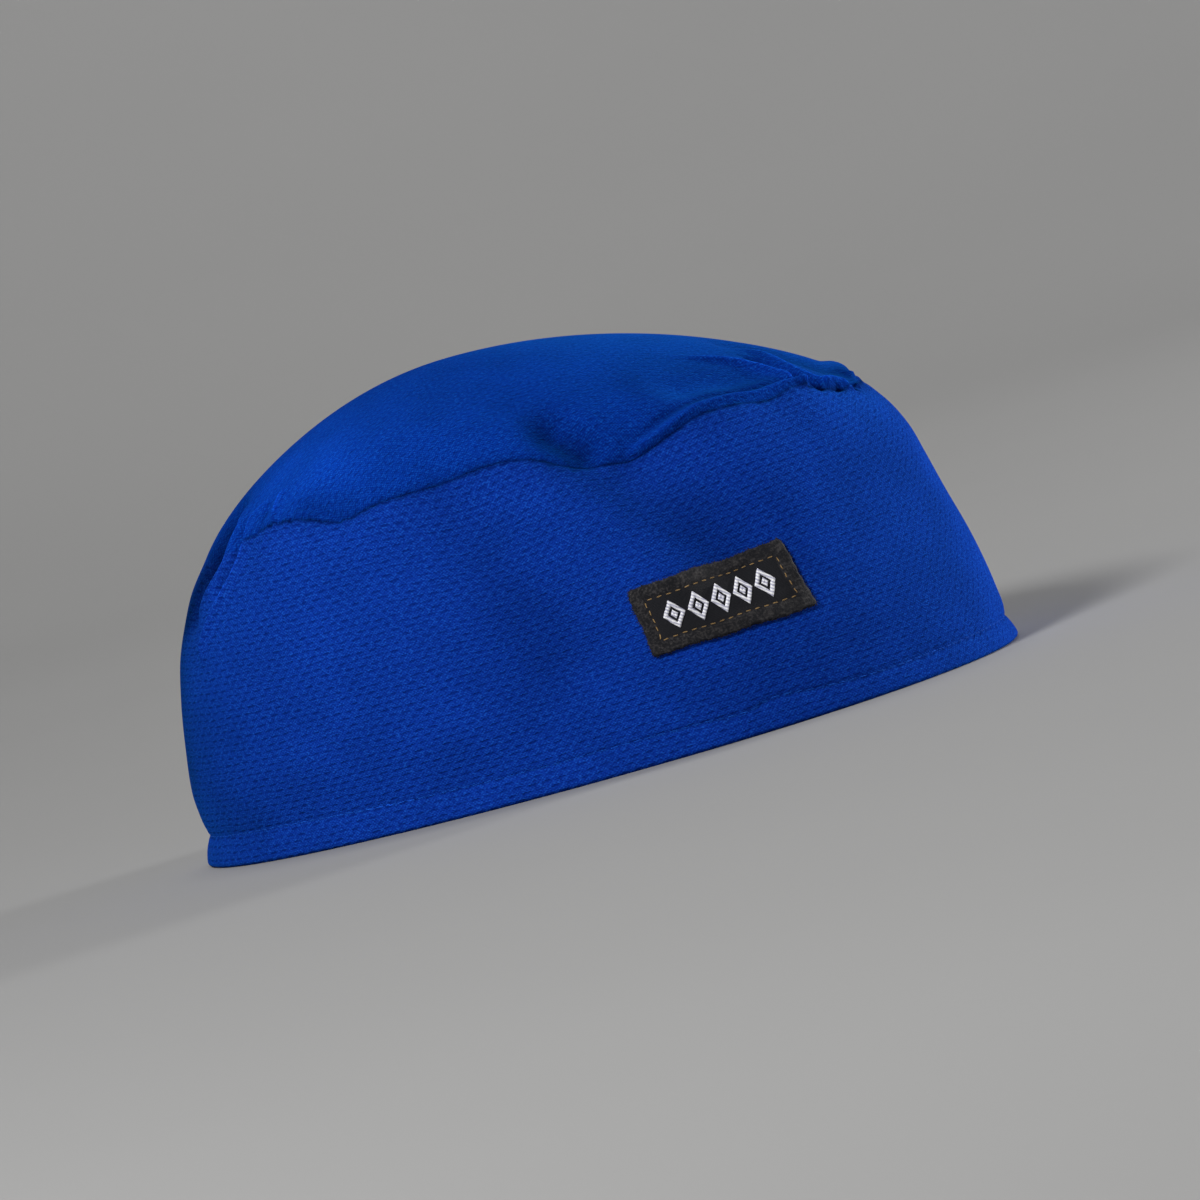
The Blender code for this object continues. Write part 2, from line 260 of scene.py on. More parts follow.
# Weave of the label: thread pitches, two colours each for its border and its field
WARP_PITCH = 0.00042
WEFT_PITCH = 0.00036
LABEL_BORDER = ((0.0050, 0.0052, 0.0080, 1.0), (0.050, 0.046, 0.047, 1.0))
LABEL_FIELD = ((0.0045, 0.0048, 0.0080, 1.0), (0.022, 0.022, 0.026, 1.0))
HEM_STITCHES = 196

# Meshes: columns outside and inside the cap
COLUMNS = 840
INNER_COLUMNS = 168
# Closer columns: middle angle, reach in degrees, extra density
CREASED = ((208.0, 16.0, 0.9), (278.0, 14.0, 0.4), (343.0, 20.0, 1.1))
# Thicknesses: cloth, hem, the hem's step inside, cloth at the seam
WALL = 0.0012
HEM_THICKNESS = 0.0026
HEM_STEP_THICKNESS = 0.0021
SEAM_THICKNESS = 0.0022
# Rounding of the rim, half the gap at the seam, lap of the crown under the tuck, step of slopes
RIM_ROUND = 0.0012
HALF_GAP = 0.00002
TUCK_LAP = 0.006
NUDGE = 1e-4
NEAR_SIDE_ROUNDS = 6
# Rows of the band's inside: share of the way up, with the hem's step at one of them
HEM_STEP = 0.0935
BAND_INNER_ROWS = (
    0.004, 0.02, 0.05, 0.084, HEM_STEP, 0.101, 0.13, 0.19, 0.26, 0.33, 0.40, 0.47, 0.54, 0.61, 0.68,
    0.74, 0.80, 0.85, 0.895, 0.925, 0.935, 0.965,
)
# Rows of the crown's inside: share of the way out from the apex
CROWN_INNER_ROWS = (0.965, 0.935, 0.925, 0.88, 0.82, 0.75, 0.67, 0.58, 0.48, 0.38, 0.27, 0.16, 0.06)
SEAM_EDGE_FROM = 0.93
# Lengths of band and crown over which the half gap is a share
BAND_UP = 0.075
CROWN_OUT = 0.078


def curve_through(rows, column, at):
    """Smooth curve through a column of a table, at places along its first column."""
    knots = np.array([row[0] for row in rows])
    values = np.array([row[column] for row in rows])
    slopes = np.gradient(values, knots)
    index = np.clip(np.searchsorted(knots, at, side="right") - 1, 0, len(knots) - 2)
    span = knots[index + 1] - knots[index]
    part = (at - knots[index]) / span
    rest = 1.0 - part
    start = (1.0 + 2.0 * part) * rest**2 * values[index] + part * rest**2 * span * slopes[index]
    end = part**2 * (3.0 - 2.0 * part) * values[index + 1] - part**2 * rest * span * slopes[index + 1]
    return start + end


def bell(away, reach):
    return np.exp(-((away / reach) ** 2))


def degrees_round(angle):
    return np.degrees(angle) % 360.0


def seam_height(angle):
    return SEAM_END_HEIGHT - SEAM_END_TILT * np.cos(angle) + SEAM_SIDE_RISE * np.sin(angle) ** 2


def seam_wave(angle):
    return curve_through(SEAM_WAVES, 1, degrees_round(angle))


def band_length(share):
    """Middle and half length of the band at a share of the way up."""
    left = curve_through(BAND_ROWS, 1, share)
    right = curve_through(BAND_ROWS, 2, share)
    return 0.5 * (right - left), 0.5 * (right + left)


def band_base(angle, share):
    middle, half_length = band_length(share)
    x = middle + half_length * np.cos(angle)
    y = curve_through(BAND_ROWS, 3, share) * np.sin(angle) * (1.0 + EGG * np.cos(angle))
    z = share * seam_height(angle) + np.abs(share) ** SEAM_WAVE_FADE_DOWN * seam_wave(angle)
    return np.stack([x, y, z], axis=-1)


def crown_base(angle, reach):
    edge = band_base(angle, np.ones_like(reach))
    x = APEX_X + (edge[..., 0] - APEX_X) * reach
    y = edge[..., 1] * reach
    fall = DOME_ROUND * reach**2 + DOME_EDGE * reach**DOME_EDGE_POWER
    z = TOP_HEIGHT - (TOP_HEIGHT - seam_height(angle)) * fall + seam_wave(angle) * reach**SEAM_WAVE_FADE_UP
    return np.stack([x, y, z], axis=-1)


def cloth_base(angle, level):
    low = band_base(angle, np.clip(level, 0.0, 1.0))
    high = crown_base(angle, np.clip(2.0 - level, 0.0, 1.0))
    return np.where((level <= 1.0)[..., None], low, high)


def outward(points):
    direction = (points - np.array(BODY_CENTRE)) / np.array(BODY_REACH) ** 2
    return direction / norm(direction, axis=-1, keepdims=True)


def nearest_on_path(points, path):
    """Squared distance to a path over the cloth, side of it, and share of its length gone by."""
    path = np.array(path)
    places = cloth_base(np.radians(path[:, 0]), path[:, 1])
    lengths = norm(np.diff(places, axis=0), axis=-1)
    gone = np.concatenate([[0.0], np.cumsum(lengths)]) / lengths.sum()
    best = np.full(points.shape[:-1], np.inf)
    side = np.zeros(points.shape[:-1])
    share = np.zeros(points.shape[:-1])
    for index, (start, end) in enumerate(zip(places[:-1], places[1:])):
        run = end - start
        part = np.clip((points - start) @ run / (run @ run), 0.0, 1.0)
        away = points - start - part[..., None] * run
        squared = np.sum(away**2, axis=-1)
        left = np.cross(outward(0.5 * (start + end)), run)
        nearer = squared < best
        best = np.where(nearer, squared, best)
        side = np.where(nearer, away @ left, side)
        share = np.where(nearer, gone[index] + part * (gone[index + 1] - gone[index]), share)
    return best, side, share


def soft_step(value):
    value = np.clip(value, 0.0, 1.0)
    return value * value * (3.0 - 2.0 * value)


def fold_height(points):
    total = np.zeros(points.shape[:-1])
    for start_angle, start_level, end_angle, end_level, reach, height in FOLDS:
        squared, _, _ = nearest_on_path(points, ((start_angle, start_level), (end_angle, end_level)))
        total += height * np.exp(-squared / reach**2)
    for height, left_reach, right_reach, rise, path in CREASES:
        squared, side, share = nearest_on_path(points, path)
        reach = np.where(side > 0.0, left_reach, right_reach)
        total += height * soft_step(share / rise) * np.exp(-squared / reach**2)
    return total


def seam_shows(angle):
    """How strongly the seam shows, none where the tuck at the -X end hides it."""
    return soft_step((np.abs(degrees_round(angle) - TUCK_ANGLE) - TUCK_HALF) / 4.0)


def painted_shade_and_seam_line(points, angle, away):
    """Share of its colour that the cloth keeps: less for painted shade in folds and hollows, more for
    painted light on crests, and less on the dark seam line and the painted shade beside it.
    """
    kept = np.ones(points.shape[:-1])
    for darkening, reach, path in PAINTED_SHADE_AND_LIGHT:
        squared, _, share = nearest_on_path(points, path)
        # Painted shade in folds and hollows, and painted light on crests, along each path
        kept *= 1.0 - darkening * (0.35 + 0.65 * soft_step(share / 0.3)) * np.exp(-squared / reach**2)
    # A dark seam line, with a wider band of painted shade beside it
    unsteady = 0.86 + 0.14 * np.sin(angle * 47.0 + 2.0 * np.sin(angle * 13.0))
    line = 0.52 * bell(away, 0.00050) + 0.14 * bell(away, 0.0018)
    return kept * (1.0 - seam_shows(angle) * unsteady * line)


def seam_pucker(angle, away):
    """Groove and gathers of the cloth beside the seam, by angle and distance from the seam."""
    along = angle / (math.tau) * SEAM_LENGTH
    beat = np.sin(math.tau * along / 0.0037 + 1.7 * np.sin(math.tau * along / 0.031))
    beat += 0.5 * np.sin(math.tau * along / 0.0023 + 1.3 * np.sin(math.tau * along / 0.047))
    strength = 0.00007 + 0.00020 * bell(np.degrees(angle) - 226.0, 12.0)
    gathers = strength * beat * bell(away, 0.0034)
    groove = -0.0005 * bell(away, 0.0011)
    return (gathers + groove) * seam_shows(angle)


def hem_line(angle):
    return curve_through(HEM_LINE, 1, degrees_round(angle))


def hem_form(height, angle):
    """Stitched groove of the hem and the pinch above it, stronger at both ends of the cap."""
    away = height - hem_line(angle)
    ends = np.cos(angle) ** 4
    groove = -0.00034 * bell(away, 0.0006)
    pinch = -(0.00020 + 0.0007 * ends) * bell(away, 0.0024)
    wave = 0.00010 * np.sin(angle * 61.0 + 1.2 * np.sin(angle * 9.0)) * bell(away, 0.0025)
    return groove + pinch + wave


def closing_seam(base, angle, share):
    """Nearness to the line where the band's two ends are sewn, in the middle of the far side."""
    across = base[..., 0] - band_base(np.full_like(angle, 0.5 * math.pi), share)[..., 0]
    return np.where(base[..., 1] > 0.0, bell(across, 0.0008), 0.0)


def band_skin(angle, share):
    base = band_base(angle, share)
    away = (1.0 - share) * seam_height(angle)
    push = fold_height(base) + seam_pucker(angle, away) + hem_form(base[..., 2], angle)
    push -= 0.0004 * closing_seam(base, angle, share)
    return base + push[..., None] * outward(base)


def crown_skin(angle, reach):
    base = crown_base(angle, reach)
    edge = crown_base(angle, np.ones_like(reach))
    away = norm(base - edge, axis=-1)
    push = fold_height(base) + seam_pucker(angle, away)
    return base + push[..., None] * outward(base)


def normals_of(surface, angle, level, turn):
    along = surface(angle + NUDGE, level) - surface(angle - NUDGE, level)
    up = surface(angle, level + NUDGE) - surface(angle, level - NUDGE)
    normal = np.cross(along, up) * turn
    return normal / norm(normal, axis=-1, keepdims=True)


def column_angles(count):
    """Angles of the columns, closer together where creases are, starting at angle 0."""
    fine = np.linspace(0.0, math.tau, 7201)
    rim = band_base(fine, np.full_like(fine, 0.3))
    degrees = np.degrees(fine)
    density = np.ones_like(fine)
    for middle, reach, extra in CREASED:
        away = (degrees - middle + 180.0) % 360.0 - 180.0
        density += extra * bell(away, reach)
    step = norm(np.diff(rim, axis=0), axis=1) * 0.5 * (density[1:] + density[:-1])
    length = np.concatenate([[0.0], np.cumsum(step)])
    return np.interp(np.arange(count) / count * length[-1], length, fine)


def ring_faces(count, rows, offset, outside):
    """Quads between closed rows of points that follow each other."""
    column = np.arange(count)
    following = (column + 1) % count
    faces = []
    for row in range(rows - 1):
        low = offset + row * count
        high = low + count
        quads = np.stack([low + column, low + following, high + following, high + column], axis=1)
        faces += list(quads if outside else quads[:, ::-1])
    return faces


def stitch_rings(fine, coarse, fine_count, coarse_count, flip):
    """Many-sided faces between a fine ring and a coarse one."""
    ratio = fine_count // coarse_count
    faces = []
    for i in range(coarse_count):
        arc = [fine + (i * ratio + k) % fine_count for k in range(ratio + 1)]
        face = arc + [coarse + (i + 1) % coarse_count, coarse + i]
        faces.append(tuple(face[::-1]) if flip else tuple(face))
    return faces


def add_mesh(name, points, faces, material, uv=None, shade=()):
    """A new object. Points beyond the end of shade keep a shade of 1."""
    mesh = bpy.data.meshes.new(name)
    corners = [tuple(int(index) for index in face) for face in faces]
    mesh.from_pydata([tuple(point) for point in points], [], corners)
    if uv is not None:
        layer = mesh.uv_layers.new(name="UVMap")
        loops = np.empty(len(mesh.loops), np.int32)
        mesh.loops.foreach_get("vertex_index", loops)
        layer.data.foreach_set("uv", np.asarray(uv, np.float32)[loops].ravel())
    shades = np.ones(len(points), np.float32)
    shades[: np.size(shade)] = np.ravel(shade)
    layer = mesh.attributes.new(name="shade", type="FLOAT", domain="POINT")
    layer.data.foreach_set("value", shades)
    mesh.validate()
    mesh.shade_smooth()
    mesh.materials.append(material)
    piece = bpy.data.objects.new(name, mesh)
    bpy.context.scene.collection.objects.link(piece)
    return piece


def new_material(name):
    material = bpy.data.materials.new(name)
    material.use_nodes = True
    return material, material.node_tree, material.node_tree.nodes["Principled BSDF"]


def joined(tree, socket, value):
    if isinstance(value, bpy.types.NodeSocket):
        tree.links.new(value, socket)
    else:
        socket.default_value = value


def set_inputs(node, values):
    for name, value in values.items():
        node.inputs[name].default_value = value


def maths(tree, operation, *values):
    node = tree.nodes.new("ShaderNodeMath")
    node.operation = operation
    for socket, value in zip(node.inputs, values):
        joined(tree, socket, value)
    return node.outputs[0]


def times(tree, first, second):
    return maths(tree, "MULTIPLY", first, second)


def plus(tree, first, second):
    return maths(tree, "ADD", first, second)


def smooth_range(tree, value, low, high, out_low=0.0, out_high=1.0):
    node = tree.nodes.new("ShaderNodeMapRange")
    node.interpolation_type = "SMOOTHSTEP"
    joined(tree, node.inputs["Value"], value)
    set_inputs(node, {"From Min": low, "From Max": high, "To Min": out_low, "To Max": out_high})
    return node.outputs["Result"]


def noise(tree, vector, scale, detail=2.0, roughness=0.5):
    node = tree.nodes.new("ShaderNodeTexNoise")
    set_inputs(node, {"Scale": scale, "Detail": detail, "Roughness": roughness})
    tree.links.new(vector, node.inputs["Vector"])
    return node.outputs["Fac"]


def mixed(tree, fac, first, second, blend="MIX"):
    node = tree.nodes.new("ShaderNodeMix")
    node.data_type = "RGBA"
    node.blend_type = blend
    joined(tree, node.inputs["Factor"], fac)
    joined(tree, node.inputs["A"], first)
    joined(tree, node.inputs["B"], second)
    return node.outputs["Result"]


def split(tree, vector):
    node = tree.nodes.new("ShaderNodeSeparateXYZ")
    tree.links.new(vector, node.inputs["Vector"])
    return node.outputs["X"], node.outputs["Y"], node.outputs["Z"]


def combined(tree, *values):
    node = tree.nodes.new("ShaderNodeCombineXYZ")
    for socket, value in zip(node.inputs, values):
        joined(tree, socket, value)
    return node.outputs["Vector"]


def uv_place(tree):
    """The UV map, which is in metres, and its two coordinates."""
    node = tree.nodes.new("ShaderNodeUVMap")
    node.uv_map = "UVMap"
    x, y, _ = split(tree, node.outputs["UV"])
    return node.outputs["UV"], x, y


def shaded(tree, colour, extra=1.0):
    """A colour times the mesh's shade attribute, which on the cloth holds its painted shade and light, and
    one more value.
    """
    node = tree.nodes.new("ShaderNodeAttribute")
    node.attribute_name = "shade"
    shade = times(tree, extra, node.outputs["Fac"])
    return mixed(tree, 1.0, colour, combined(tree, shade, shade, shade), "MULTIPLY")


def link_look(tree, shader, colour, height, constants):
    """Link a colour and a bump to a shader, and set its constant inputs."""
    set_inputs(shader, constants)
    tree.links.new(colour, shader.inputs["Base Color"])
    bump = tree.nodes.new("ShaderNodeBump")
    set_inputs(bump, {"Strength": 1.0, "Distance": 1.0})
    tree.links.new(height, bump.inputs["Height"])
    tree.links.new(bump.outputs["Normal"], shader.inputs["Normal"])


def knit_material(name, base, painted_shade_colour, bright, dash_share, depth, contrast):
    """Knit with rows of short dashes in half-drop, from a UV map in metres."""
    material, tree, shader = new_material(name)
    uv, x, y = uv_place(tree)
    # Rows and cells of the knit, a little uneven
    wobble = noise(tree, uv, 260.0, 3.0)
    drift = noise(tree, uv, 60.0, 3.0)
    u = maths(tree, "DIVIDE", x, DASH_PITCH)
    u = plus(tree, u, times(tree, wobble, 0.35))
    v = maths(tree, "DIVIDE", y, ROW_PITCH)
    v = plus(tree, v, times(tree, drift, 0.6))
    row = maths(tree, "FLOOR", v)
    in_row = maths(tree, "SUBTRACT", maths(tree, "SUBTRACT", v, row), 0.5)
    shifted = plus(tree, u, times(tree, row, 0.5))
    cell = maths(tree, "FLOOR", shifted)
    in_cell = maths(tree, "SUBTRACT", maths(tree, "SUBTRACT", shifted, cell), 0.5)
    chance = tree.nodes.new("ShaderNodeTexWhiteNoise")
    chance.noise_dimensions = "2D"
    tree.links.new(combined(tree, cell, row), chance.inputs["Vector"])
    chance = chance.outputs["Value"]
    # Dashes, steeper and shorter where the knit is bunched at the +X end
    bunched = smooth_range(tree, x, 0.072, 0.125)
    bunched = times(tree, bunched, smooth_range(tree, x, 0.16, 0.21, 1.0, 0.0))
    slant = maths(tree, "MULTIPLY_ADD", bunched, 0.9, 0.17)
    off_row = maths(tree, "SUBTRACT", in_row, times(tree, slant, in_cell))
    off_row = plus(tree, off_row, maths(tree, "MULTIPLY_ADD", chance, 0.14, -0.07))
    half_long = maths(tree, "MULTIPLY_ADD", bunched, -0.35 * dash_share, dash_share)
    long_way = maths(tree, "POWER", maths(tree, "DIVIDE", in_cell, half_long), 2.0)
    short_way = maths(tree, "POWER", maths(tree, "DIVIDE", off_row, 0.165), 2.0)
    dash = smooth_range(tree, plus(tree, long_way, short_way), 0.25, 1.45, 1.0, 0.0)
    dash = times(tree, dash, maths(tree, "MULTIPLY_ADD", chance, 0.4, 0.6))
    # Loops and fuzz of the yarn
    loops_u = maths(tree, "SINE", times(tree, shifted, 8.0 * math.pi))
    loops_v = maths(tree, "SINE", times(tree, v, 4.0 * math.pi))
    loops = times(tree, loops_u, loops_v)
    streak = noise(tree, combined(tree, times(tree, x, 0.36), y), 2600.0, 2.0, 0.6)
    fuzz = times(tree, noise(tree, uv, 1800.0, 3.0, 0.7), 0.45)
    fuzz = plus(tree, fuzz, times(tree, streak, 0.55))
    fuzz = plus(tree, fuzz, times(tree, loops, 0.07))
    # Painted shade in the dashes, strongest on the left half of the near side, where the light grazes the
    # knit
    plain = smooth_range(tree, x, -0.07, 0.03, contrast, 0.75 * contrast)
    back = smooth_range(tree, x, -0.21, -0.16, 0.75 * contrast, contrast)
    plain = maths(tree, "MINIMUM", plain, back)
    colour = mixed(tree, times(tree, dash, plain), base, painted_shade_colour)
    # Painted light on raised yarn and painted shade on sunken yarn, following the fuzz that also makes the
    # bump
    lit = times(tree, smooth_range(tree, fuzz, 0.49, 0.65), 0.9)
    lit = times(tree, lit, maths(tree, "SUBTRACT", 1.0, dash))
    sunk_shade = times(tree, smooth_range(tree, fuzz, 0.50, 0.36), 0.65)
    colour = mixed(tree, sunk_shade, mixed(tree, lit, colour, bright), painted_shade_colour)
    patch = smooth_range(tree, noise(tree, uv, 70.0, 3.0), 0.3, 0.7, 0.92, 1.07)
    height = plus(tree, times(tree, dash, -depth), times(tree, fuzz, 0.00032))
    constants = {
        "Roughness": 0.9,
        "IOR": 1.06,
        "Specular IOR Level": 0.3,
        "Sheen Weight": 0.10,
        "Sheen Roughness": 0.5,
        "Sheen Tint": (0.0, 0.34, 1.0, 1.0),
    }
    link_look(tree, shader, shaded(tree, colour, patch), height, constants)
    return material


# Dark blue of the painted shade in the knit's dashes and sunken yarn
DEEP_BLUE = (0.0015, 0.0105, 0.135, 1.0)
# Knits: base colour, colour of the painted shade in dashes and sunken yarn, colour of painted light on lit
# yarn, dash length, dash depth, strength of the painted dash shade
BAND_KNIT = ((0.0034, 0.0310, 0.297, 1.0), DEEP_BLUE, (0.0082, 0.080, 0.465, 1.0), 0.37, 0.00016, 0.64)
CROWN_KNIT = ((0.0016, 0.0285, 0.278, 1.0), DEEP_BLUE, (0.0050, 0.076, 0.440, 1.0), 0.32, 0.00013, 0.52)
# Threads: colour of the painted shade between plies, colour of the painted light on plies, length of one
# twist, specular level
BLUE_THREAD = ((0.0030, 0.036, 0.30, 1.0), (0.010, 0.095, 0.50, 1.0), 0.0005, 0.1)
GOLD_THREAD = ((0.13, 0.072, 0.024, 1.0), (0.52, 0.34, 0.15, 1.0), 0.0003, 0.4)
WHITE_THREAD = ((0.46, 0.46, 0.58, 1.0), (0.95, 0.95, 0.97, 1.0), CORD_PITCH, 0.1)
DARK_THREAD = ((0.004, 0.004, 0.007, 1.0), (0.050, 0.046, 0.048, 1.0), 0.0003, 0.3)


def shell_faces(rows, in_rows):
    """Faces of the outside and the inside of a wall, joined along their first rows."""
    offset = rows * COLUMNS
    faces = ring_faces(COLUMNS, rows, 0, True) + ring_faces(INNER_COLUMNS, in_rows, offset, False)
    return faces + stitch_rings(0, offset, COLUMNS, INNER_COLUMNS, True)


def inner_wall(surface, angle, level, thick, turn):
    """The skin at the inner columns and rows, and the inside of the wall under it."""
    skin = surface(angle, level)
    return skin, skin - thick[:, None, None] * normals_of(surface, angle, level, turn)


def build_band(material):
    angles = column_angles(COLUMNS)
    top = 1.0 - HALF_GAP / BAND_UP
    low_rows = np.linspace(0.006, 0.14, 22)
    middle_rows = np.linspace(0.152, 0.93, 58)
    high_rows = np.linspace(0.94, top - 0.0009, 14)
    shares = np.concatenate([[0.0], low_rows, middle_rows, high_rows, [top]])
    angle, share = np.meshgrid(angles, shares, indexing="xy")
    outer = band_skin(angle, share)
    under = np.clip(1.0 - outer[..., 2] / RIM_ROUND, 0.0, 1.0)
    drawn = RIM_ROUND * (1.0 - np.sqrt(1.0 - under**2 * 0.98))
    outer = outer - drawn[..., None] * outward(outer) * np.array([1.0, 1.0, 0.0])
    outer[0, :, 2] = 0.0

    in_angles = angles[:: COLUMNS // INNER_COLUMNS]
    in_shares = np.array(BAND_INNER_ROWS + (top,))
    thick = np.where(in_shares < HEM_STEP, HEM_THICKNESS, WALL)
    thick = np.where(in_shares > SEAM_EDGE_FROM, SEAM_THICKNESS, thick)
    thick[in_shares == HEM_STEP] = HEM_STEP_THICKNESS
    in_angle, in_share = np.meshgrid(in_angles, in_shares, indexing="xy")
    skin, inner = inner_wall(band_skin, in_angle, in_share, thick, 1.0)
    inner[0, :, 2] = 0.0

    points = np.concatenate([outer.reshape(-1, 3), inner.reshape(-1, 3)])
    faces = shell_faces(len(shares), len(in_shares))
    last = (len(shares) - 1) * COLUMNS
    in_last = len(points) - INNER_COLUMNS
    faces += stitch_rings(last, in_last, COLUMNS, INNER_COLUMNS, False)
    base = band_base(angle, share)
    flat = np.stack([arc_map(outer, angles), base[..., 2]], axis=-1).reshape(-1, 2)
    in_height = band_base(in_angle, in_share)[..., 2]
    in_flat = np.stack([arc_map(skin, in_angles), in_height], axis=-1).reshape(-1, 2)

    # Painted shade and light of the cloth, darker along the closing seam and along the hem's stitch line
    shade = painted_shade_and_seam_line(base, angle, (1.0 - share) * seam_height(angle))
    shade *= 1.0 - 0.45 * closing_seam(base, angle, share)
    dark = 0.10 + 0.26 * soft_step((np.cos(angle) + 0.1) / 0.4) * soft_step((0.82 - np.cos(angle)) / 0.25)
    shade *= 1.0 - dark * bell(base[..., 2] - hem_line(angle), 0.00045)
    return add_mesh("band_cloth", points, faces, material, np.concatenate([flat, in_flat]), shade)


def arc_map(points, angles):
    """Length along each row measured from the column nearest the label side's middle, both ways."""
    count = points.shape[1]
    start = int(np.argmin(np.abs(angles - 1.5 * math.pi)))
    order = (np.arange(count) + start) % count
    rolled = points[:, order]
    closed = np.concatenate([rolled, rolled[:, :1]], axis=1)
    step = norm(np.diff(closed, axis=1)[..., :2], axis=-1)
    length = np.concatenate([np.zeros((len(points), 1)), np.cumsum(step, axis=1)], axis=1)
    whole = length[:, -1:]
    length = length[:, :-1]
    turned = angles[order]
    beyond = (turned > 0.5 * math.pi) & (turned < 1.5 * math.pi - 1e-6)
    both = np.where(beyond, length - whole, length)
    back = np.empty_like(both)
    back[:, order] = both
    return back


def build_crown(material):
    angles = column_angles(COLUMNS)
    edge = 1.0 - HALF_GAP / CROWN_OUT
    outer_rows = np.linspace(edge - 0.0009, 0.90, 20)
    middle_rows = np.linspace(0.894, 0.72, 22)
    top_rows = np.linspace(0.70, 0.03, 32)
    reaches = np.concatenate([[edge], outer_rows, middle_rows, top_rows])
    angle, reach = np.meshgrid(angles, reaches, indexing="xy")
    reach[0] += TUCK_LAP * (1.0 - seam_shows(angles))
    outer = crown_skin(angle, reach)

    in_reaches = np.array((edge,) + CROWN_INNER_ROWS)
    thick = np.where(in_reaches > SEAM_EDGE_FROM, SEAM_THICKNESS, WALL)
    in_angle, in_reach = np.meshgrid(angles[:: COLUMNS // INNER_COLUMNS], in_reaches, indexing="xy")
    skin, inner = inner_wall(crown_skin, in_angle, in_reach, thick, -1.0)

    tips = np.array([[APEX_X, 0.0, TOP_HEIGHT], [APEX_X, 0.0, TOP_HEIGHT - WALL]])
    points = np.concatenate([outer.reshape(-1, 3), inner.reshape(-1, 3), tips])
    faces = shell_faces(len(reaches), len(in_reaches))
    tip = len(points) - 2
    last = (len(reaches) - 1) * COLUMNS
    in_last = tip - INNER_COLUMNS
    faces += [(last + i, last + (i + 1) % COLUMNS, tip) for i in range(COLUMNS)]
    faces += [(in_last + (i + 1) % INNER_COLUMNS, in_last + i, tip + 1) for i in range(INNER_COLUMNS)]

    base = crown_base(angle, reach)
    away = norm(base - crown_base(angle, np.ones_like(reach)), axis=-1)
    uv = np.concatenate([crown_map(outer), crown_map(skin), np.zeros((2, 2))])
    # The crown's painted shade and light and its dark seam line go into the shade attribute
    return add_mesh("crown_cloth", points, faces, material, uv, painted_shade_and_seam_line(base, angle, away))


def crown_map(points):
    """Flat places of crown points: plan direction from the apex, and length over the cloth."""
    apex = np.array([APEX_X, 0.0, TOP_HEIGHT])
    rising = points[::-1]
    chain = np.concatenate([np.broadcast_to(apex, (1,) + points.shape[1:]), rising])
    length = np.cumsum(norm(np.diff(chain, axis=0), axis=-1), axis=0)[::-1]
    plan = points[..., :2] - apex[:2]
    plan = plan / norm(plan, axis=-1, keepdims=True)
    flat = (plan * length[..., None]).reshape(-1, 2)
    cos = math.cos(CROWN_KNIT_TURN)
    sin = math.sin(CROWN_KNIT_TURN)
    return np.stack([flat[:, 0] * cos - flat[:, 1] * sin, flat[:, 0] * sin + flat[:, 1] * cos], axis=-1)


def near_side_levels(x, z):
    """Angle and share of the band's points at these x and z on the label's side."""
    share = z / SEAM_END_HEIGHT
    for _ in range(NEAR_SIDE_ROUNDS):
        middle, half_length = band_length(share)
        angle = math.tau - np.arccos((x - middle) / half_length)
        share = (z - share**SEAM_WAVE_FADE_DOWN * seam_wave(angle)) / seam_height(angle)
    return angle, share


def edge_distances(along, up):
    """Distances to the label's nearer short side and nearer long side."""
    return np.minimum(along, 1.0 - along) * LABEL_SIZE[0], np.minimum(up, 1.0 - up) * LABEL_SIZE[1]


def rounded_corners(along, up):
    """Shares along and up the label, drawn in near its four corners."""
    across, updown = edge_distances(along, up)
    across = np.clip(LABEL_CORNER_ROUND - across, 0.0, None)
    updown = np.clip(LABEL_CORNER_ROUND - updown, 0.0, None)
    kept = np.maximum(across, updown) / np.maximum(np.hypot(across, updown), 1e-9)
    drawn = 1.0 - np.where(across * updown > 0.0, kept, 1.0)
    along = along + np.sign(0.5 - along) * across * drawn / LABEL_SIZE[0]
    up = up + np.sign(0.5 - up) * updown * drawn / LABEL_SIZE[1]
    return along, up


def on_label(along, up, height):
    """Points over the label's place on the band: shares along and up it, and height above the cloth."""
    along, up = rounded_corners(along, up)
    corners = np.array(LABEL_CORNERS)
    flat = (1.0 - along)[..., None] * ((1.0 - up)[..., None] * corners[0] + up[..., None] * corners[3])
    flat = flat + along[..., None] * ((1.0 - up)[..., None] * corners[1] + up[..., None] * corners[2])
    wobble_x = (0.00016 * np.sin(9.0 * up + 1.0) + 0.00008 * np.sin(37.0 * up)) * (2.0 * along - 1.0)
    wobble_z = (0.00016 * np.sin(17.0 * along + 0.6) + 0.00008 * np.sin(79.0 * along)) * (2.0 * up - 1.0)
    angle, share = near_side_levels(flat[..., 0] + wobble_x, flat[..., 1] + wobble_z)
    skin = band_skin(angle, share)
    return skin + height[..., None] * normals_of(band_skin, angle, share, 1.0)


def label_height(along, up):
    """Height of the label's face: rounded folded edges, a raised border and a dip along the stitches."""
    inside = np.minimum(*edge_distances(along, up))
    edge = np.clip(inside / 0.0005, 0.0, 1.0)
    rounding = np.sqrt(1.0 - (1.0 - edge) ** 2)
    border = 1.0 / (1.0 + np.exp((inside - 0.0030) / 0.00015))
    lumps = 0.00005 * np.sin(along * 41.0 + up * 9.0) + 0.00004 * np.sin(along * 23.0 - up * 31.0)
    stitched = bell(inside - 0.0034, 0.0004)
    return LABEL_GAP + rounding * (LABEL_THICKNESS + 0.00018 * border + lumps * border - 0.00010 * stitched)


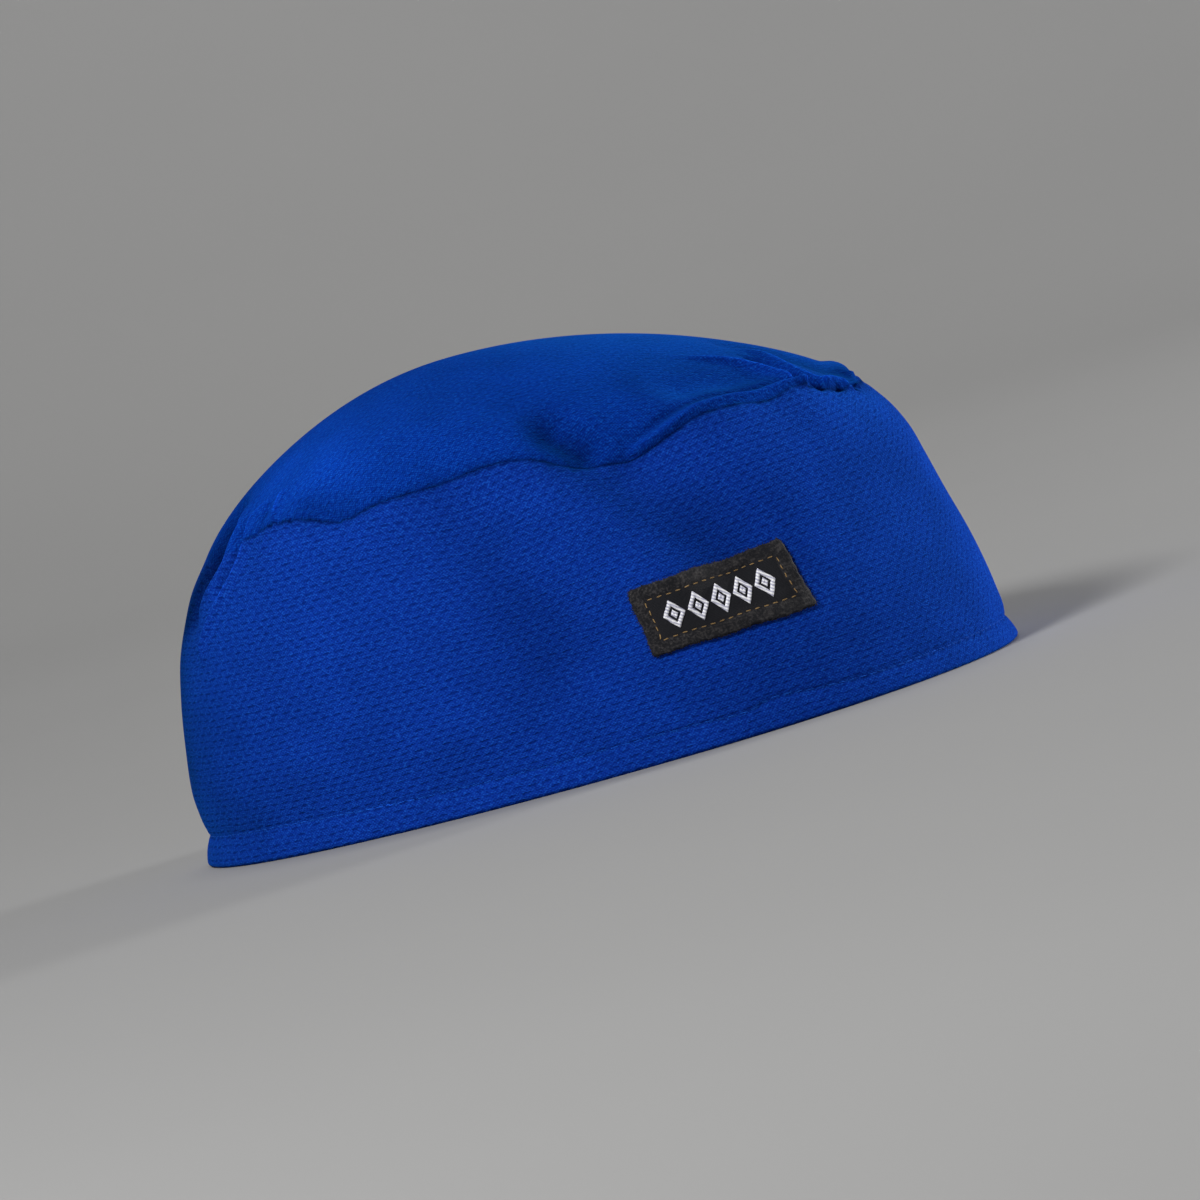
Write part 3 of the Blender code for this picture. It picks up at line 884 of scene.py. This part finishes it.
def label_steps(length, count):
    """Shares along a side of the label, close together where its edges are rounded."""
    edge = np.array([0.0, 0.0001, 0.00025, 0.0005])
    middle = np.linspace(0.0008, length - 0.0008, count)
    return np.concatenate([edge, middle, length - edge[::-1]]) / length


def build_label(material):
    width, height = LABEL_SIZE
    along, up = np.meshgrid(label_steps(width, 110), label_steps(height, 50), indexing="xy")
    front = on_label(along, up, label_height(along, up))
    back = on_label(along, up, np.full_like(along, 0.6 * LABEL_GAP))
    tall, wide = along.shape
    count = tall * wide
    points = np.concatenate([front.reshape(-1, 3), back.reshape(-1, 3)])
    faces = []
    for row in range(tall - 1):
        for column in range(wide - 1):
            low = row * wide + column
            face = (low, low + 1, low + wide + 1, low + wide)
            faces.append(face)
            faces.append(tuple(count + index for index in face[::-1]))
    loop = list(range(wide)) + [row * wide + wide - 1 for row in range(1, tall)]
    loop += [count - 1 - column for column in range(1, wide)]
    loop += [row * wide for row in range(tall - 2, 0, -1)]
    for here, following in zip(loop, loop[1:] + loop[:1]):
        faces.append((following, here, count + here, count + following))
    flat = np.stack([along * width, up * height], axis=-1).reshape(-1, 2)
    return add_mesh("label_cloth", points, faces, material, np.concatenate([flat, flat]))


def capsule_mesh(name, centres, ways, outs, sizes, material, shade=None):
    """Many small stitches as one mesh. sizes holds length, width and height of each."""
    rings = 7
    sides = 8
    bend = np.linspace(-0.46 * math.pi, 0.46 * math.pi, rings)
    turn = np.arange(sides) / sides * math.tau
    points = []
    faces = []
    shades = []
    for index, (centre, way, out) in enumerate(zip(centres, ways, outs)):
        way = way / norm(way)
        out = out - way * (out @ way)
        out = out / norm(out)
        side = np.cross(out, way)
        length, width, height = sizes[index]
        offset = len(points)
        for b in bend:
            slim = math.cos(b) ** 0.6
            place = centre + way * 0.5 * length * math.sin(b)
            for t in turn:
                ring_place = side * 0.5 * width * math.cos(t) + out * 0.5 * height * math.sin(t)
                points.append(place + slim * ring_place)
        for ring in range(rings - 1):
            for k in range(sides):
                low = offset + ring * sides + k
                next_low = offset + ring * sides + (k + 1) % sides
                faces.append((low, low + sides, next_low + sides, next_low))
        faces.append(tuple(offset + k for k in range(sides)))
        faces.append(tuple(offset + (rings - 1) * sides + k for k in range(sides))[::-1])
        shades += [1.0 if shade is None else shade[index]] * (rings * sides)
    return add_mesh(name, points, faces, material, None, shades)


def build_label_fibres(material):
    """Short loose fibres all along the label's edge."""
    rng = np.random.default_rng(11)
    width, height = LABEL_SIZE
    walk = (np.arange(LABEL_FIBRES) + rng.random(LABEL_FIBRES)) / LABEL_FIBRES * 2.0 * (width + height)
    turns = np.array([0.0, width, width + height, 2.0 * width + height, 2.0 * (width + height)])
    along = np.interp(walk, turns, [0.0, 1.0, 1.0, 0.0, 0.0])
    up = np.interp(walk, turns, [0.0, 0.0, 1.0, 1.0, 0.0])
    side = np.searchsorted(turns, walk, side="right") - 1
    out_along = np.array([0.0, 1.0, 0.0, -1.0])[side] / width
    out_up = np.array([-1.0, 0.0, 1.0, 0.0])[side] / height
    slant = rng.normal(0.0, 0.00035, LABEL_FIBRES)
    reach = 0.00012 + 0.00038 * rng.random(LABEL_FIBRES) ** 2
    low = LABEL_GAP + 0.0002 + 0.0005 * rng.random(LABEL_FIBRES)
    root = on_label(along - 0.00025 * out_along, up - 0.00025 * out_up, low)
    tip_along = along + reach * out_along + slant * np.abs(out_up) * height / width
    tip_up = up + reach * out_up + slant * np.abs(out_along) * width / height
    tip = on_label(tip_along, tip_up, low + rng.normal(0.0, 0.00012, LABEL_FIBRES))
    outs = on_label(along, up, low + 0.001) - on_label(along, up, low)
    thick = 0.00010 + 0.00008 * rng.random(LABEL_FIBRES)
    sizes = np.stack([norm(tip - root, axis=-1), thick, thick], axis=-1)
    return capsule_mesh("label_fibres", 0.5 * (root + tip), tip - root, outs, sizes, material)


def build_label_stitches(material):
    corners = [np.array(corner) for corner in STITCH_CORNERS]
    at = []
    for start, end, count in zip(corners, corners[1:] + corners[:1], STITCH_COUNTS):
        share = ((np.arange(count) + 0.5) / count)[:, None]
        at.append(np.stack([start + (end - start) * share, start + (end - start) * (share + 0.02)], axis=1))
    at = np.concatenate(at)
    along = at[..., 0]
    up = at[..., 1]
    places = on_label(along, up, label_height(along, up))
    lifted = on_label(along, up, label_height(along, up) + 0.001)
    outs = lifted[:, 0] - places[:, 0]
    centres = places[:, 0] + 0.05 * outs
    sizes = np.tile([0.00125, 0.00028, 0.00022], (len(centres), 1))
    return capsule_mesh("label_stitches", centres, places[:, 1] - places[:, 0], outs, sizes, material)


def lozenge_grid(middle, half_width, half_height, hollow):
    """Flat places and rise of one raised lozenge, top layer then bottom layer, ring by ring inwards."""
    walk = np.arange(LOZENGE_AROUND) / LOZENGE_AROUND * 4.0
    side = np.floor(walk).astype(int) % 4
    part = (walk - np.floor(walk))[:, None]
    tips = np.array([(half_width, 0.0), (0.0, half_height), (-half_width, 0.0), (0.0, -half_height)])
    outline = tips[side] * (1.0 - part) + tips[(side + 1) % 4] * part
    across = np.linspace(0.0, 1.0, LOZENGE_ACROSS)
    scale = 1.0 - (1.0 - hollow) * across
    x = middle[0] + outline[None, :, 0] * scale[:, None]
    y = middle[1] + outline[None, :, 1] * scale[:, None]
    swell = np.sqrt(np.sin(math.pi * across))
    cords = 0.5 + 0.5 * np.sin(math.tau * (x * 0.6 + y) / CORD_PITCH)
    rise = 0.00006 + swell[:, None] * (0.00030 + 0.00016 * cords)
    return np.stack([x, x]), np.stack([y, y]), np.stack([rise, np.full_like(rise, 0.00003)])


def build_ornament(material):
    """Row of five open lozenges, each with a small solid one inside, raised as satin stitch."""
    grids = []
    for index in range(5):
        middle = (ORNAMENT_START + index * ORNAMENT_STEP, ORNAMENT_HEIGHT)
        grids += [lozenge_grid(middle, *lozenge) for lozenge in LOZENGES]
    x = np.stack([grid[0] for grid in grids])
    y = np.stack([grid[1] for grid in grids])
    rise = np.stack([grid[2] for grid in grids])
    along = x / LABEL_SIZE[0]
    up = y / LABEL_SIZE[1]
    points = on_label(along, up, label_height(along, up) + rise).reshape(-1, 3)
    uv = np.stack([x, y], axis=-1).reshape(-1, 2)
    faces = []
    layer = LOZENGE_AROUND * LOZENGE_ACROSS
    inner = (LOZENGE_ACROSS - 1) * LOZENGE_AROUND
    for index in range(len(grids)):
        offset = index * 2 * layer
        faces += ring_faces(LOZENGE_AROUND, LOZENGE_ACROSS, offset, True)
        faces += ring_faces(LOZENGE_AROUND, LOZENGE_ACROSS, offset + layer, False)
        for k in range(LOZENGE_AROUND):
            first = offset + k
            second = offset + (k + 1) % LOZENGE_AROUND
            faces.append((second, first, first + layer, second + layer))
            faces.append((inner + first, inner + second, inner + second + layer, inner + first + layer))
    return add_mesh("label_ornament", points, faces, material, uv)


def build_hem_stitches(material):
    angles = np.linspace(0.0, math.tau, 1 + 4 * HEM_STITCHES)
    rim = band_base(angles, np.full_like(angles, 0.1))
    length = np.concatenate([[0.0], np.cumsum(norm(np.diff(rim, axis=0), axis=1))])
    angles = np.interp((np.arange(HEM_STITCHES) + 0.5) / HEM_STITCHES * length[-1], length, angles)
    rng = np.random.default_rng(7)
    shares = hem_line(angles) / seam_height(angles)
    skin = band_skin(angles, shares)
    ahead = band_skin(angles + 0.004, shares)
    outs = normals_of(band_skin, angles, shares, 1.0)
    sizes = np.tile([0.0021, 0.00032, 0.00024], (HEM_STITCHES, 1))
    ways = ahead - skin
    ways[:, 2] += rng.normal(0.0, 0.00003, HEM_STITCHES)
    bare = bell(np.degrees(angles) - 238.0, 3.5)
    shade = 0.85 + 0.30 * rng.random(HEM_STITCHES) ** 3 + 1.6 * bare * rng.random(HEM_STITCHES)
    return capsule_mesh("hem_stitches", skin + outs * 0.00003, ways, outs, sizes, material, shade)


def label_material():
    """Black woven label: a speckled border round a field with fine lines."""
    material, tree, shader = new_material("label_woven_look")
    uv, x, y = uv_place(tree)
    across = maths(tree, "MINIMUM", x, maths(tree, "SUBTRACT", LABEL_SIZE[0], x))
    updown = maths(tree, "MINIMUM", y, maths(tree, "SUBTRACT", LABEL_SIZE[1], y))
    field = smooth_range(tree, maths(tree, "MINIMUM", across, updown), 0.0028, 0.0038)
    threads_x = maths(tree, "SINE", times(tree, x, math.tau / WARP_PITCH))
    threads_y = maths(tree, "SINE", times(tree, y, math.tau / WEFT_PITCH))
    speck = noise(tree, uv, 1700.0, 3.0, 0.7)
    cloud = noise(tree, uv, 420.0, 3.0, 0.6)
    specks = plus(tree, times(tree, speck, 0.6), times(tree, cloud, 0.4))
    border = mixed(tree, smooth_range(tree, specks, 0.44, 0.66), *LABEL_BORDER)
    inner = mixed(tree, smooth_range(tree, threads_y, -0.6, 0.9, 0.0, 0.30), *LABEL_FIELD)
    weave = times(tree, times(tree, threads_x, threads_y), 0.00004)
    height = plus(tree, weave, times(tree, speck, 0.00018))
    constants = {"Roughness": 0.8, "Specular IOR Level": 0.3}
    link_look(tree, shader, mixed(tree, field, border, inner), height, constants)
    return material


def thread_material(name, ply_shade_colour, ply_light_colour, twist, specular):
    """Sewing thread: fine twist lines along it, painted as shade between the plies and light on them, and
    slight colour changes at random.
    """
    material, tree, shader = new_material(name)
    place = tree.nodes.new("ShaderNodeTexCoord")
    x, _, z = split(tree, place.outputs["Object"])
    slant = plus(tree, times(tree, x, 0.7), z)
    ply = maths(tree, "SINE", times(tree, slant, math.tau / twist))
    blotch = noise(tree, place.outputs["Object"], 900.0, 3.0)
    fac = plus(tree, times(tree, ply, 0.26), blotch)
    # Painted shade between the plies and painted light on them, with random blotches
    colour = mixed(tree, smooth_range(tree, fac, 0.25, 0.75), ply_shade_colour, ply_light_colour)
    constants = {"Roughness": 0.7, "IOR": 1.2, "Specular IOR Level": specular}
    link_look(tree, shader, shaded(tree, colour), times(tree, ply, 0.00003), constants)
    return material


def build_stage():
    """Pale floor that bends up into a wall behind the cap."""
    material, tree, shader = new_material("floor_paper")
    place = tree.nodes.new("ShaderNodeTexCoord")
    grain = noise(tree, place.outputs["Object"], 3.0, 2.0)
    tint = mixed(tree, grain, (0.30, 0.298, 0.295, 1.0), (0.32, 0.318, 0.315, 1.0))
    tree.links.new(tint, shader.inputs["Base Color"])
    shader.inputs["Roughness"].default_value = 0.9
    profile = [(-4.0, 0.0), (-1.0, 0.0), (FLOOR_END, 0.0)]
    for turn in np.linspace(0.08, 0.5 * math.pi, 16):
        profile.append((FLOOR_END + FLOOR_BEND * math.sin(turn), FLOOR_BEND * (1.0 - math.cos(turn))))
    profile.append((FLOOR_END + FLOOR_BEND, 5.0))
    points = [(x, y, z - FLOOR_DROP) for y, z in profile for x in (-5.0, 5.0)]
    faces = [(2 * i, 2 * i + 1, 2 * i + 3, 2 * i + 2) for i in range(len(profile) - 1)]
    floor = add_mesh("floor", points, faces, material)


# Point that the lamps face
LAMP_AIM = (0.0, 0.0, 0.045)
# Lamps: name, degrees round from the camera towards +X, degrees up, distance, size, power
LAMPS = (
    ("key", -31.0, 36.0, 1.7, 0.40, 25.0),
    ("front", 4.0, 4.0, 2.4, 0.9, 4.0),
    ("rim", 108.0, 4.0, 1.5, 0.30, 25.0),
)
# Lamp for the wall: place, aim, size, power
WALL_LAMP = ((0.0, 0.9, 2.6), (0.0, 2.7, 0.9), 1.5, 42.0)


def lamp_place(around, high, distance):
    around = math.radians(around)
    high = math.radians(high)
    way = Vector((math.sin(around) * math.cos(high), -math.cos(around) * math.cos(high), math.sin(high)))
    return Vector(LAMP_AIM) + way * distance


def add_lamp(name, place, aim, size, power):
    data = bpy.data.lights.new(name, "AREA")
    data.shape = "DISK"
    data.size = size
    data.energy = power
    lamp = bpy.data.objects.new(name, data)
    lamp.location = place
    lamp.rotation_mode = "QUATERNION"
    lamp.rotation_quaternion = (Vector(place) - Vector(aim)).to_track_quat("Z", "Y")
    bpy.context.scene.collection.objects.link(lamp)


def build_light():
    world = bpy.data.worlds.new("studio")
    bpy.context.scene.world = world
    world.use_nodes = True
    back = world.node_tree.nodes["Background"]
    set_inputs(back, {"Color": (1.0, 1.0, 1.0, 1.0), "Strength": 0.055})
    for name, around, high, distance, size, power in LAMPS:
        add_lamp(name, lamp_place(around, high, distance), LAMP_AIM, size, power)
    add_lamp("wall", *WALL_LAMP)
    bpy.context.scene.view_settings.view_transform = "Standard"
    bpy.context.scene.view_settings.look = "None"


def build_camera():
    back = np.array([0.0, -math.cos(CAMERA_ELEVATION), math.sin(CAMERA_ELEVATION)])
    level_up = np.array([0.0, math.sin(CAMERA_ELEVATION), math.cos(CAMERA_ELEVATION)])
    level_right = np.array([1.0, 0.0, 0.0])
    cos = math.cos(CAMERA_ROLL)
    sin = math.sin(CAMERA_ROLL)
    right = cos * level_right - sin * level_up
    up = sin * level_right + cos * level_up
    place = np.array(CAMERA_TARGET) + CAMERA_DISTANCE * back
    data = bpy.data.cameras.new("camera")
    data.angle = 2.0 * math.atan(0.5 * CAMERA_FIELD / CAMERA_DISTANCE)
    camera = bpy.data.objects.new("camera", data)
    columns = [(*right, 0.0), (*up, 0.0), (*back, 0.0), (*place, 1.0)]
    camera.matrix_world = Matrix(columns).transposed()
    bpy.context.scene.collection.objects.link(camera)
    bpy.context.scene.camera = camera


def main():
    band_knit = knit_material("band_knit_look", *BAND_KNIT)
    crown_knit = knit_material("crown_knit_look", *CROWN_KNIT)
    band = build_band(band_knit)
    crown = build_crown(crown_knit)
    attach(band, "root")
    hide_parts("side_band")
    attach(crown, "root")
    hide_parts("crown_panel")
    label = build_label(label_material())
    stitches = build_label_stitches(thread_material("gold_thread_look", *GOLD_THREAD))
    ornament = build_ornament(thread_material("white_thread_look", *WHITE_THREAD))
    fibres = build_label_fibres(thread_material("dark_thread_look", *DARK_THREAD))
    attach(label, "root")
    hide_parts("label")
    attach(fibres, "root")
    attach(stitches, "root")
    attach(ornament, "root")
    hem = build_hem_stitches(thread_material("blue_thread_look", *BLUE_THREAD))
    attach(hem, "root")
    build_stage()
    build_light()
    build_camera()


main()
